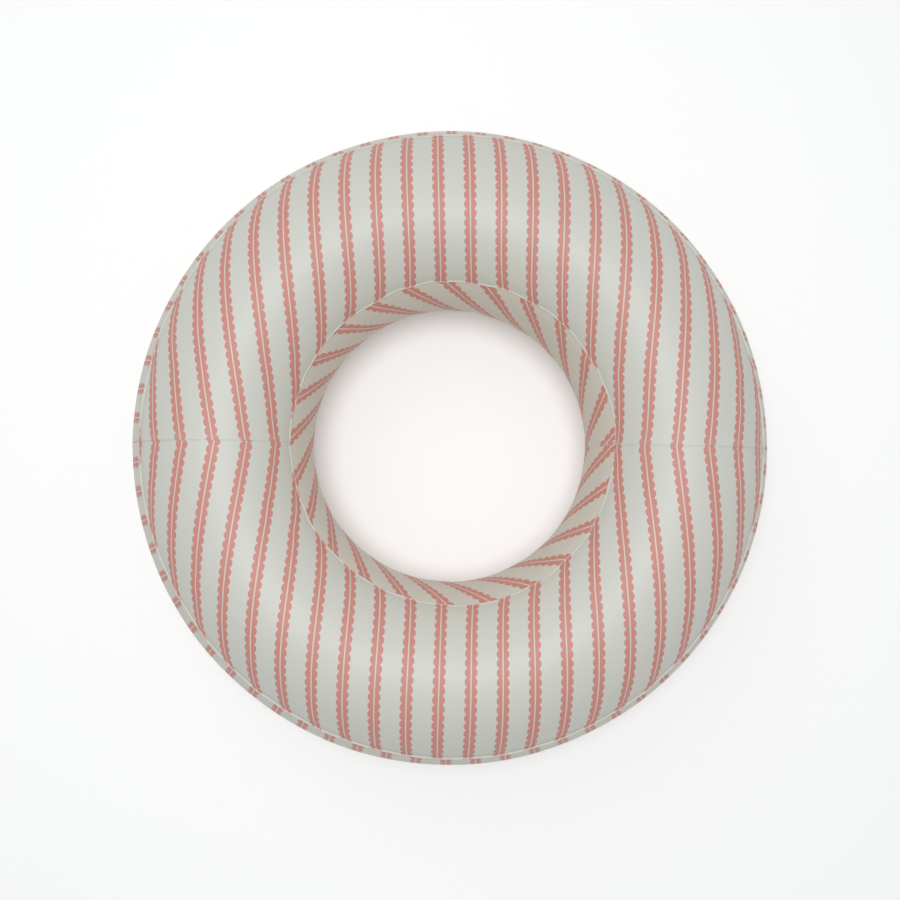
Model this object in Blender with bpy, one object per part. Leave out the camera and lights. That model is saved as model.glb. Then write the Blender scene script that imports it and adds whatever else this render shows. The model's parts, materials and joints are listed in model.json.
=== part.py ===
"""Inflatable pool float: a ring-shaped tube of welded PVC film with a push-in valve underneath.

Metres, +Z up. The origin is the ring's centre on the surface it rests on; the ring's axis is Z.
+Y is the back, -Y the front and +X the right. The tube is built from seven film panels, as it is
cut and welded: two half rings on top, two underneath, two half bands outside and one inner band.
"""

import math

import bmesh
import bpy
from mathutils import Matrix, Vector

# Driving dimensions of the inflated tube
RING_RADIUS = 0.280  # from the ring's axis to the middle of the tube
TUBE_RADIUS = 0.110
FILM = 0.0003  # thickness of the PVC film
WELD_GAP = 0.0003  # between two films that are welded together
FIN_HEIGHT = 0.0020  # how far a circumferential weld stands out of the tube
FACETS_ROUND_RING = 48
TOP_HALF_ANGLE = 54.0  # half of what the top and the bottom panel cover of the tube, in degrees

# Flats of a top or bottom panel, as degrees from its middle; the last one takes the valve
PANEL_EDGES = (6.0, 17.0, 28.0, 38.0, TOP_HALF_ANGLE)
BAND_FLATS = 8

# Lap where two panel ends are welded over each other
LAP_LENGTH = 0.006
LAP_RAMP = 0.0012  # length in which the lower end steps down
TAB_INSET = 0.0035  # how far the lower end's tab stays from the fins

# Valve, with radii and depths along its own axis, counted outwards from the film
VALVE_SIDES = 24
STEM_BORE_RADIUS = 0.0032
STEM_WALL = 0.0012
STEM_DEPTH = 0.0130  # from the film inwards, when pushed in
LIP_RISE = 0.0004  # from the film to the underside of the lip
LIP_THICKNESS = 0.0010
LIP_WIDTH = 0.0012
RUNNING_GAP = 0.00025  # round a piece that slides or is pushed in
FLANGE_RADIUS = 0.0120
FLANGE_THICKNESS = 0.0008
WEB_THICKNESS = 0.0005
WEB_WIDENING = 0.0020  # radius that the web gains from the stem's end to the flange
PLUG_HEAD_RADIUS = 0.0060
PLUG_HEAD_THICKNESS = 0.0012
PLUG_HEAD_BEVEL = 0.0005
PLUG_SHANK_LENGTH = 0.0080
PLUG_WALL = 0.0009
INSERT_LENGTH = 0.0040
INSERT_WALL = 0.0006
FLAP_THICKNESS = 0.0004
FLAP_OVERLAP = 0.0003  # by which the flap is wider than the stem's bore
STRAP_WIDTH = 0.0032
STRAP_THICKNESS = 0.0007
STRAP_REACH = 0.0060  # how far the strap's bend stands out from the plug's head
STRAP_BEND_STEPS = 6

SHARP_ANGLE = math.radians(30.0)  # edges sharper than this are not shaded smooth

# Worked out from the above
FLAT_ANGLE = 2 * math.pi / FACETS_ROUND_RING
TUBE_HEIGHT = TUBE_RADIUS * math.cos(math.radians(PANEL_EDGES[0]))  # over the resting flat
VALVE_ANGLE = math.radians((PANEL_EDGES[-2] + PANEL_EDGES[-1]) / 2 - 90.0)
VALVE_FLAT = TUBE_RADIUS * math.cos(math.radians(PANEL_EDGES[-1] - PANEL_EDGES[-2]) / 2)
STEM_RADIUS = STEM_BORE_RADIUS + STEM_WALL
LIP_TOP = LIP_RISE + LIP_THICKNESS
WEB_INNER_RADIUS = STEM_RADIUS + WELD_GAP
WEB_OUTER_RADIUS = WEB_INNER_RADIUS + WEB_WIDENING
FLANGE_HOLE_RADIUS = WEB_OUTER_RADIUS + WEB_THICKNESS + WELD_GAP
FILM_HOLE_RADIUS = FLANGE_HOLE_RADIUS + WELD_GAP
FLANGE_TOP = -FILM - WELD_GAP
PLUG_SHANK_RADIUS = STEM_BORE_RADIUS - RUNNING_GAP
INSERT_RADIUS = STEM_BORE_RADIUS - RUNNING_GAP


def material(name, color, roughness):
    """A Principled material of one colour."""
    made = bpy.data.materials.new(name)
    made.use_nodes = True
    shader = made.node_tree.nodes["Principled BSDF"]
    shader.inputs["Base Color"].default_value = (*color, 1.0)
    shader.inputs["Roughness"].default_value = roughness
    shader.inputs["Metallic"].default_value = 0.0
    return made


def add_object(name, bm, finish, parent=None):
    """Turns a bmesh into an object with its normals outward, shaded smooth."""
    bmesh.ops.recalc_face_normals(bm, faces=bm.faces)
    mesh = bpy.data.meshes.new(name)
    bm.to_mesh(mesh)
    bm.free()
    mesh.materials.append(finish)
    mesh.shade_smooth()
    mesh.set_sharp_from_angle(angle=SHARP_ANGLE)
    made = bpy.data.objects.new(name, mesh)
    bpy.context.scene.collection.objects.link(made)
    made.parent = parent
    return made


def loft(name, sections, finish):
    """A closed body through a row of sections, each the same number of points, capped at both ends."""
    bm = bmesh.new()
    rings = [[bm.verts.new(point) for point in section] for section in sections]
    count = len(rings[0])
    for first, second in zip(rings, rings[1:]):
        for i in range(count):
            k = (i + 1) % count
            bm.faces.new((first[i], first[k], second[k], second[i]))
    half = count // 2
    for ring in (rings[0], rings[-1]):
        for i in range(half - 1):
            bm.faces.new((ring[i], ring[i + 1], ring[count - 2 - i], ring[count - 1 - i]))
    return add_object(name, bm, finish)


# Film panels ----------------------------------------------------------------------------------


def tube_point(angle, out=0.0):
    """A point (radius, height) of the tube's section, or one further out along a corner's radius."""
    reach = TUBE_RADIUS + out
    return Vector((RING_RADIUS + reach * math.cos(angle), TUBE_HEIGHT + reach * math.sin(angle)))


def offset_path(path, distance):
    """The path moved to its right-hand side by a distance, with its corners mitred."""
    moved = []
    for i, point in enumerate(path):
        before = (point - path[i - 1]).normalized() if i else None
        after = (path[i + 1] - point).normalized() if i + 1 < len(path) else None
        normals = [Vector((run.y, -run.x)) for run in (before, after) if run]
        middle = sum(normals, Vector((0.0, 0.0))).normalized()
        moved.append(point + middle * distance / middle.dot(normals[0]))
    return moved


def panel_profile(edges):
    """The film's outer face across a panel: fin, tube, fin, with half the weld gap at each fin.

    edges are the tube angles in radians, in falling order, so that the film lies to the right.
    """
    tube = [tube_point(angle) for angle in edges]
    gap = WELD_GAP / 2 + FILM
    first, last = tube[0], tube[-1]
    first_out = (first - tube_point(edges[0], -1.0)).normalized()
    last_out = (last - tube_point(edges[-1], -1.0)).normalized()
    first_in = Vector((first_out.y, -first_out.x)) * gap
    last_in = Vector((-last_out.y, last_out.x)) * gap
    path = [first + first_in + first_out * FIN_HEIGHT, first + first_in]
    path += tube[1:-1]
    path += [last + last_in, last + last_in + last_out * FIN_HEIGHT]
    return path


def tab_profile(edges):
    """The same path where the end is a tab: narrower, without fins, one film further in."""
    path = panel_profile(edges)
    first_run = (path[2] - path[1]).normalized()
    last_run = (path[-3] - path[-2]).normalized()
    path[0] = path[1] + first_run * TAB_INSET
    path[1] = path[1] + first_run * (TAB_INSET + FIN_HEIGHT)
    path[-1] = path[-2] + last_run * TAB_INSET
    path[-2] = path[-2] + last_run * (TAB_INSET + FIN_HEIGHT)
    return offset_path(path, FILM + WELD_GAP)


def film_section(path, around):
    """The closed outline of the film's section at one angle round the ring, as 3-D points.

    The ring is a polygon of flats, so a point's radius depends on where it lies on its flat.
    """
    off_middle = around - FLAT_ANGLE * round(around / FLAT_ANGLE)
    stretch = math.cos(FLAT_ANGLE / 2) / math.cos(off_middle)
    outline = path + offset_path(path, FILM)[::-1]
    return [
        (p.x * stretch * math.cos(around), p.x * stretch * math.sin(around), p.y)
        for p in outline
    ]


def corners_between(start, end):
    """The angles round the ring of the polygon's corners that lie between two angles."""
    first = math.floor(start / FLAT_ANGLE)
    corners = [(k + 0.5) * FLAT_ANGLE for k in range(first, first + FACETS_ROUND_RING + 1)]
    return [corner for corner in corners if start < corner < end]


def lap_angles(edges):
    """How far, as angles round the ring, a lap, a ramp and a weld gap reach at a panel's radius."""
    radius = min(tube_point(angle).x for angle in edges)
    return LAP_LENGTH / 2 / radius, LAP_RAMP / radius, WELD_GAP / radius


def film_panel(name, edges, start, end, tab_at_start, tab_at_end, finish):
    """One panel of film from one angle round the ring to another.

    An end with a tab runs under its neighbour's plain end, which stops half a lap past the seam.
    """
    lap, ramp, gap = lap_angles(edges)
    full, tab = panel_profile(edges), tab_profile(edges)
    sections = []
    if tab_at_start:
        sections += [film_section(tab, start - lap), film_section(tab, start + lap + gap)]
        sections += [film_section(full, start + lap + gap + ramp)]
    else:
        sections += [film_section(full, start - lap)]
    sections += [film_section(full, corner) for corner in corners_between(start + lap, end - lap)]
    if tab_at_end:
        sections += [film_section(full, end - lap - gap - ramp)]
        sections += [film_section(tab, end - lap - gap), film_section(tab, end + lap)]
    else:
        sections += [film_section(full, end + lap)]
    return loft(name, sections, finish)


def build_tube(finish):
    """The seven film panels, by the names of the places they cover."""
    spread = [math.radians(a) for a in PANEL_EDGES]
    offsets = spread[::-1] + [-a for a in spread]
    top = [math.pi / 2 + a for a in offsets]
    bottom = [-math.pi / 2 + a for a in offsets]
    seam = math.pi / 2 - spread[-1]
    band = [seam - 2 * seam * i / BAND_FLATS for i in range(BAND_FLATS + 1)]
    inner = [angle + math.pi for angle in band]
    for name, edges in (("top_panel", top), ("bottom_panel", bottom), ("outer_band", band)):
        film_panel(name + "_back", edges, 0.0, math.pi, False, False, finish)
        film_panel(name + "_front", edges, math.pi, 2 * math.pi, True, True, finish)
    film_panel("inner_band", inner, 0.0, 2 * math.pi, False, True, finish)


# Valve ----------------------------------------------------------------------------------------


def valve_frame():
    """The valve's axes: Z out of the film, X to the right round the ring, origin on the film."""
    outward = Vector((0.0, -math.cos(VALVE_ANGLE), math.sin(VALVE_ANGLE)))
    right = Vector((1.0, 0.0, 0.0))
    across = outward.cross(right)
    reach = RING_RADIUS * math.cos(FLAT_ANGLE / 2) + VALVE_FLAT * math.cos(VALVE_ANGLE)
    frame = Matrix((right, across, outward)).transposed().to_4x4()
    frame.translation = (0.0, -reach, TUBE_HEIGHT + VALVE_FLAT * math.sin(VALVE_ANGLE))
    return frame


def turned(name, profile, finish, parent):
    """A ring or a solid turned from a closed outline of (radius, height) points about Z.

    Points at radius 0 become the single points where the solid meets its axis.
    """
    bm = bmesh.new()
    rows = []
    for radius, height in profile:
        if radius == 0.0:
            rows.append([bm.verts.new((0.0, 0.0, height))])
            continue
        turns = [2 * math.pi * i / VALVE_SIDES for i in range(VALVE_SIDES)]
        rows.append(
            [bm.verts.new((radius * math.cos(t), radius * math.sin(t), height)) for t in turns]
        )
    if profile[0][0] > 0.0:
        rows.append(rows[0])
    for first, second in zip(rows, rows[1:]):
        for i in range(VALVE_SIDES):
            k = (i + 1) % VALVE_SIDES
            corners = [first[i % len(first)], first[k % len(first)]]
            corners += [second[k % len(second)], second[i % len(second)]]
            bm.faces.new(list(dict.fromkeys(corners)))
    return add_object(name, bm, finish, parent)


def cut_valve_hole(panel, frame):
    """Cuts the round hole for the valve through the film."""
    bm = bmesh.new()
    bmesh.ops.create_cone(
        bm,
        cap_ends=True,
        segments=VALVE_SIDES,
        radius1=FILM_HOLE_RADIUS,
        radius2=FILM_HOLE_RADIUS,
        depth=FIN_HEIGHT * 2,
        matrix=frame,
    )
    cutter = add_object("valve_hole_cutter", bm, panel.data.materials[0])
    cutter.hide_render = True
    cutter.display_type = "WIRE"
    cut = panel.modifiers.new("valve_hole", "BOOLEAN")
    cut.operation = "DIFFERENCE"
    cut.object = cutter


def build_strap(finish, parent):
    """The tether: a flat band from the lip's rim, round a bend, back to the rim of the plug's head."""
    low = LIP_TOP - LIP_THICKNESS / 2
    high = LIP_TOP + WELD_GAP + PLUG_HEAD_THICKNESS - STRAP_THICKNESS / 2
    lip_rim = STEM_RADIUS + LIP_WIDTH + WELD_GAP
    head_rim = PLUG_HEAD_RADIUS + WELD_GAP
    bend = (high - low) / 2
    centre = PLUG_HEAD_RADIUS + STRAP_REACH - bend
    path = [Vector((lip_rim, low))]
    for i in range(STRAP_BEND_STEPS + 1):
        turn = math.pi * (i / STRAP_BEND_STEPS - 0.5)
        path.append(Vector((centre + bend * math.cos(turn), low + bend + bend * math.sin(turn))))
    path.append(Vector((head_rim, high)))
    outer = offset_path(path, STRAP_THICKNESS / 2)
    inner = offset_path(path, -STRAP_THICKNESS / 2)
    outline = outer + inner[::-1]
    sections = [[(p.x, side * STRAP_WIDTH / 2, p.y) for p in outline] for side in (-1, 1)]
    strap = loft("plug_strap", sections, finish)
    strap.parent = parent


def build_flap(finish, stem_axes):
    """The check flap, with its origin on its hinge line at the stem's inner end."""
    radius = STEM_BORE_RADIUS + FLAP_OVERLAP
    hinge = bpy.data.objects.new("flap_hinge_axis", None)
    bpy.context.scene.collection.objects.link(hinge)
    hinge.parent = stem_axes
    hinge.location = (-radius, 0.0, -STEM_DEPTH - WELD_GAP)
    bm = bmesh.new()
    bmesh.ops.create_cone(
        bm,
        cap_ends=True,
        segments=VALVE_SIDES,
        radius1=radius,
        radius2=radius,
        depth=FLAP_THICKNESS,
        matrix=Matrix.Translation((radius, 0.0, -FLAP_THICKNESS / 2)),
    )
    add_object("check_flap", bm, finish, hinge)


def build_valve(soft, clear):
    """The push-in valve, pushed in, with its plug closed."""
    frame = valve_frame()
    axes = bpy.data.objects.new("valve_axis", None)
    bpy.context.scene.collection.objects.link(axes)
    axes.matrix_world = frame
    turned(
        "valve_flange",
        [
            (FLANGE_HOLE_RADIUS, FLANGE_TOP - FLANGE_THICKNESS),
            (FLANGE_RADIUS, FLANGE_TOP - FLANGE_THICKNESS),
            (FLANGE_RADIUS, FLANGE_TOP),
            (FLANGE_HOLE_RADIUS, FLANGE_TOP),
        ],
        soft,
        axes,
    )
    web_top = FLANGE_TOP - FLANGE_THICKNESS / 2
    turned(
        "valve_web",
        [
            (WEB_INNER_RADIUS, -STEM_DEPTH),
            (WEB_INNER_RADIUS + WEB_THICKNESS, -STEM_DEPTH),
            (WEB_OUTER_RADIUS + WEB_THICKNESS, web_top),
            (WEB_OUTER_RADIUS, web_top),
        ],
        clear,
        axes,
    )
    turned(
        "valve_stem",
        [
            (STEM_BORE_RADIUS, -STEM_DEPTH),
            (STEM_RADIUS, -STEM_DEPTH),
            (STEM_RADIUS, LIP_RISE),
            (STEM_RADIUS + LIP_WIDTH, LIP_RISE),
            (STEM_RADIUS + LIP_WIDTH, LIP_TOP),
            (STEM_BORE_RADIUS, LIP_TOP),
        ],
        soft,
        axes,
    )
    turned(
        "valve_insert",
        [
            (INSERT_RADIUS - INSERT_WALL, -STEM_DEPTH),
            (INSERT_RADIUS, -STEM_DEPTH),
            (INSERT_RADIUS, -STEM_DEPTH + INSERT_LENGTH),
            (INSERT_RADIUS - INSERT_WALL, -STEM_DEPTH + INSERT_LENGTH),
        ],
        clear,
        axes,
    )
    head = LIP_TOP + WELD_GAP
    shank_end = head - PLUG_SHANK_LENGTH
    turned(
        "valve_plug",
        [
            (0.0, head + PLUG_HEAD_THICKNESS),
            (PLUG_HEAD_RADIUS - PLUG_HEAD_BEVEL, head + PLUG_HEAD_THICKNESS),
            (PLUG_HEAD_RADIUS, head + PLUG_HEAD_THICKNESS - PLUG_HEAD_BEVEL),
            (PLUG_HEAD_RADIUS, head),
            (PLUG_SHANK_RADIUS, head),
            (PLUG_SHANK_RADIUS, shank_end),
            (PLUG_SHANK_RADIUS - PLUG_WALL, shank_end),
            (PLUG_SHANK_RADIUS - PLUG_WALL, head),
            (0.0, head),
        ],
        soft,
        axes,
    )
    build_strap(soft, axes)
    build_flap(clear, axes)
    cut_valve_hole(bpy.data.objects["bottom_panel_front"], frame)


def main():
    for existing in list(bpy.data.objects):
        bpy.data.objects.remove(existing)
    film = material("printed_pvc_film", (0.68, 0.69, 0.62), 0.35)
    soft = material("soft_pvc", (0.80, 0.80, 0.76), 0.40)
    clear = material("clear_pvc", (0.78, 0.80, 0.80), 0.30)
    build_tube(film)
    build_valve(soft, clear)


main()
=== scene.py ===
"""Looks of an inflatable pool float: seven printed film panels, their welds and a push-in valve.

Metres, +Z up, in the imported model's own frame: the ring's axis is Z and the floor is at Z = 0.
Angles round the ring are counted from +X, and angles round the tube from outward and level.
"""

import json
import math

import bmesh
import bpy
from mathutils import Matrix, Vector

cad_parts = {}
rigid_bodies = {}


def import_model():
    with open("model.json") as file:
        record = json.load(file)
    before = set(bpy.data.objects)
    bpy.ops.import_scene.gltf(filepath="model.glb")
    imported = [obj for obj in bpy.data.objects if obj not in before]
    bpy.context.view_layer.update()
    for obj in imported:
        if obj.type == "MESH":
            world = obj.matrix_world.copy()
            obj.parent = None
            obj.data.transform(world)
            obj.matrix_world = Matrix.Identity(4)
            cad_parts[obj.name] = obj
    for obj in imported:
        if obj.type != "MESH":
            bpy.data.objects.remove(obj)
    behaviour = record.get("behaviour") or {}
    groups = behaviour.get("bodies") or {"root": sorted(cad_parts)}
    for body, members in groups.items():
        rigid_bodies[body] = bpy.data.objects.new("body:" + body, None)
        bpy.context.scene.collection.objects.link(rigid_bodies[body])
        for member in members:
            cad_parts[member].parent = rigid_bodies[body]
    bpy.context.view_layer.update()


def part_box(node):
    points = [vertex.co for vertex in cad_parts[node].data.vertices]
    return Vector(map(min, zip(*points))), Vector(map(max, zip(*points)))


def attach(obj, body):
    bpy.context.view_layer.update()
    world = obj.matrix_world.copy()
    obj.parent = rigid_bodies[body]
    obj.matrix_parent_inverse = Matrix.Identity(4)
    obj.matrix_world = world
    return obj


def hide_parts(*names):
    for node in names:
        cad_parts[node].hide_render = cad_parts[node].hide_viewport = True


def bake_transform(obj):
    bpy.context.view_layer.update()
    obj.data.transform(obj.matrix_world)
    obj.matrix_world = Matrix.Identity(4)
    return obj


# Cut of the tube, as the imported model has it
CAD_REST_FLAT = math.radians(6.0)  # half of the flat that the tube rests on
CAD_RING_FLATS = 48
TOP_HALF = math.radians(54.0)  # half of what a top or bottom panel covers of the tube
FILM = 0.0003
FIN_HEIGHT = 0.0020
LAP_LENGTH = 0.0060

# Rows of each panel's mesh, counted from its fin's edge
FIN_ROWS = 3
FILLET_ROWS = 4
TUBE_ROWS_WIDE = 76
TUBE_ROWS_BAND = 56
COLUMNS_HALF = 250
COLUMNS_INNER = 330

# Printed ribbon, on the flat film
RIBBON_PITCH = 0.03677
LOBE_RADIUS = 0.00610
LOBE_OFFSET = 0.00130
LOBE_SPACING = 0.01057
CENTRE_LINE = 0.0015
BACK_SKEW = -0.0315  # how the ribbons lie across each half panel, in radians
FRONT_SKEW = 0.0145
BACK_SHIFT = 0.031435
FRONT_SHIFT = 0.033358
CUT_SHORT = 0.1501  # angle by which each end of a half panel is cut short of a half turn
OUTER_CUT_RADIUS = 0.3927  # radius of the circle that the flat strip's length would close
INNER_CUT_RADIUS = 0.1833
INNER_SLANT = math.radians(39.3)
OUTER_RIBBON_BACK = math.radians(176.1)  # where one ribbon crosses each outer band
OUTER_RIBBON_FRONT = math.radians(345.2)
INNER_RIBBON = math.radians(359.2)  # where one ribbon meets the inner band's upper seam
TOP_SEAM_DRIFT = 0.0058  # how far the top panels and their seams sit to the right
BACK_GATHER = 0.0036  # how far the print is pulled along where the back panel starts
GATHER_SPAN = 0.5  # angle from the panel's start in which that pull dies out


# Node trees --------------------------------------------------------------------------------------


class Term:
    """A number in a node tree, so that a formula can be written as one."""

    def __init__(self, tree, socket):
        self.tree = tree
        self.socket = socket

    def calc(self, operation, *values, clamp=False):
        node = self.tree.nodes.new("ShaderNodeMath")
        node.operation = operation
        node.use_clamp = clamp
        for value, slot in zip(values, node.inputs):
            feed(self.tree, value, slot)
        return Term(self.tree, node.outputs[0])

    def __add__(self, other):
        return self.calc("ADD", self, other)

    def __radd__(self, other):
        return self.calc("ADD", other, self)

    def __sub__(self, other):
        return self.calc("SUBTRACT", self, other)

    def __rsub__(self, other):
        return self.calc("SUBTRACT", other, self)

    def __mul__(self, other):
        return self.calc("MULTIPLY", self, other)

    def __rmul__(self, other):
        return self.calc("MULTIPLY", other, self)

    def __truediv__(self, other):
        return self.calc("DIVIDE", self, other)

    def __neg__(self):
        return self.calc("MULTIPLY", self, -1.0)

    def __abs__(self):
        return self.calc("ABSOLUTE", self)

    def sin(self):
        return self.calc("SINE", self)

    def cos(self):
        return self.calc("COSINE", self)

    def exp(self):
        return self.calc("EXPONENT", self)

    def root(self):
        return self.calc("SQRT", self)

    def at_least(self, other):
        return self.calc("MAXIMUM", self, other)

    def at_most(self, other):
        return self.calc("MINIMUM", self, other)

    def clamped(self):
        return self.calc("ADD", self, 0.0, clamp=True)

    def from_nearest(self, step):
        """How far it is past the nearest whole multiple of step."""
        return self - self.calc("ROUND", self / step) * step

    def rise(self, low, high):
        """0 below low, 1 above high, and a smooth slope between."""
        node = self.tree.nodes.new("ShaderNodeMapRange")
        node.interpolation_type = "SMOOTHSTEP"
        feed(self.tree, self, node.inputs["Value"])
        feed(self.tree, low, node.inputs["From Min"])
        feed(self.tree, high, node.inputs["From Max"])
        return Term(self.tree, node.outputs["Result"])


def feed(tree, value, slot):
    """Connects a term or a socket to a slot, or sets the slot's own value."""
    if isinstance(value, Term):
        tree.links.new(value.socket, slot)
    elif isinstance(value, bpy.types.NodeSocket):
        tree.links.new(value, slot)
    else:
        slot.default_value = value


def vector(tree, x, y, z=0.0):
    node = tree.nodes.new("ShaderNodeCombineXYZ")
    for value, slot in zip((x, y, z), node.inputs):
        feed(tree, value, slot)
    return node.outputs[0]


def split(tree, socket):
    node = tree.nodes.new("ShaderNodeSeparateXYZ")
    tree.links.new(socket, node.inputs[0])
    return [Term(tree, out) for out in node.outputs]


def noise(tree, place, size, detail=1.0, roughness=0.5):
    """Smooth noise from -1 to 1 with features of one size, in metres."""
    node = tree.nodes.new("ShaderNodeTexNoise")
    tree.links.new(place, node.inputs["Vector"])
    node.inputs["Scale"].default_value = 1.0 / size
    node.inputs["Detail"].default_value = detail
    node.inputs["Roughness"].default_value = roughness
    return Term(tree, node.outputs["Fac"]) * 2.0 - 1.0


def new_group(name, kind, inputs, outputs):
    """A node group with named sockets, and its input terms by name."""
    tree = bpy.data.node_groups.new(name, kind)
    for label, socket_type, value in inputs:
        made = tree.interface.new_socket(label, in_out="INPUT", socket_type=socket_type)
        if value is not None:
            made.default_value = value
    for label, socket_type in outputs:
        tree.interface.new_socket(label, in_out="OUTPUT", socket_type=socket_type)
    start = tree.nodes.new("NodeGroupInput")
    end = tree.nodes.new("NodeGroupOutput")
    terms = {}
    for label, socket_type, _ in inputs:
        socket = start.outputs[label]
        numeric = socket_type in ("NodeSocketFloat", "NodeSocketInt")
        terms[label] = Term(tree, socket) if numeric else socket
    return tree, terms, end


# Film panels -------------------------------------------------------------------------------------

PANEL_INPUTS = (
    ("Ring Radius", "NodeSocketFloat", 0.28),
    ("Tube Radius", "NodeSocketFloat", 0.11),
    ("Tube Height", "NodeSocketFloat", 0.11),
    ("Seam From", "NodeSocketFloat", 0.0),
    ("Seam To", "NodeSocketFloat", 0.0),
    ("Start", "NodeSocketFloat", 0.0),
    ("End", "NodeSocketFloat", 0.0),
    ("Drift From", "NodeSocketFloat", 0.0),
    ("Drift To", "NodeSocketFloat", 0.0),
    ("Fin From", "NodeSocketFloat", FIN_HEIGHT),
    ("Fin To", "NodeSocketFloat", FIN_HEIGHT),
    ("Lap Lift", "NodeSocketFloat", 0.0),
    ("Lap Length", "NodeSocketFloat", LAP_LENGTH),
    ("Columns", "NodeSocketInt", 10),
    ("Rows", "NodeSocketInt", 10),
    ("Cut Radius", "NodeSocketFloat", 0.2),
    ("Slant", "NodeSocketFloat", 0.0),
    ("Shift", "NodeSocketFloat", 0.0),
    ("Gather", "NodeSocketFloat", 0.0),
    ("Material", "NodeSocketMaterial", None),
)
FIN_FILLET = 0.0008
SEAM_STAND_OFF = 0.00032  # from a seam's middle to the outer face of one film
INNER_FIN = 0.0010
SEAM_DENT = 0.0009
SEAM_DENT_REACH = 0.0070
SEAM_WANDER = 0.0030
SEAM_WANDER_SIZE = 0.11
SEAM_KINK = 0.0032
SEAM_KINK_SIZE = 0.035
FIN_LEAN = 0.5  # how far a fin's edge leans, as a share of its height
FIN_LEAN_SIZE = 0.02
PUCKER_DEPTH = 0.00070
PUCKER_REACH = 0.016
PUCKER_WIDTH = 0.013
SWELL_DEPTH = 0.0011
SWELL_WIDTH = 0.13
LAP_RAMP = 0.0030
LAP_OVER = 0.25 * FILM  # lift of the ends that lie on top, and of those set in under them
LAP_UNDER = -1.1 * FILM
SET_IN_FIN = 0.2  # what is left of the fin of an end that is set in
SET_IN_STAND_OFF = 0.0006
ROW_SPREAD = 0.55  # how much closer a panel's rows stand at its seams
END_CROWDING = 0.35  # how much closer a panel's columns stand at its ends


def annulus_cut(tree, given, around, tube_angle, margin):
    """A point's place on a half panel's flat cut, an annulus a little short of a half turn."""
    inner = math.pi / 2 + TOP_HALF
    inner_ring = given["Ring Radius"] + given["Tube Radius"] * math.cos(inner)
    share = 1.0 - 2.0 * CUT_SHORT / math.pi
    outward = given["Tube Radius"] * (inner - abs(tube_angle))
    outward = outward - margin * tube_angle.calc("SIGN", tube_angle)
    reach = inner_ring / share + outward
    middle = (given["Start"] + given["End"]) * 0.5
    angle = middle + (around - middle) * share + given["Slant"]
    pulled = given["Gather"] * (1.0 - (around - given["Start"]).rise(0.0, GATHER_SPAN))
    return vector(tree, reach * angle.cos() - given["Shift"] - pulled, reach * angle.sin())


def strip_cut(tree, given, around, tube_angle, margin):
    """A point's place on a band's flat cut, a straight strip that lies slanted to the print."""
    centre = (given["Seam From"] + given["Seam To"]) * 0.5
    over = given["Tube Radius"] * (tube_angle - centre) + margin
    length = given["Cut Radius"] * around
    along = length * given["Slant"].cos() + over * given["Slant"].sin() - given["Shift"]
    return vector(tree, along, over * given["Slant"].cos() - length * given["Slant"].sin())


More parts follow.
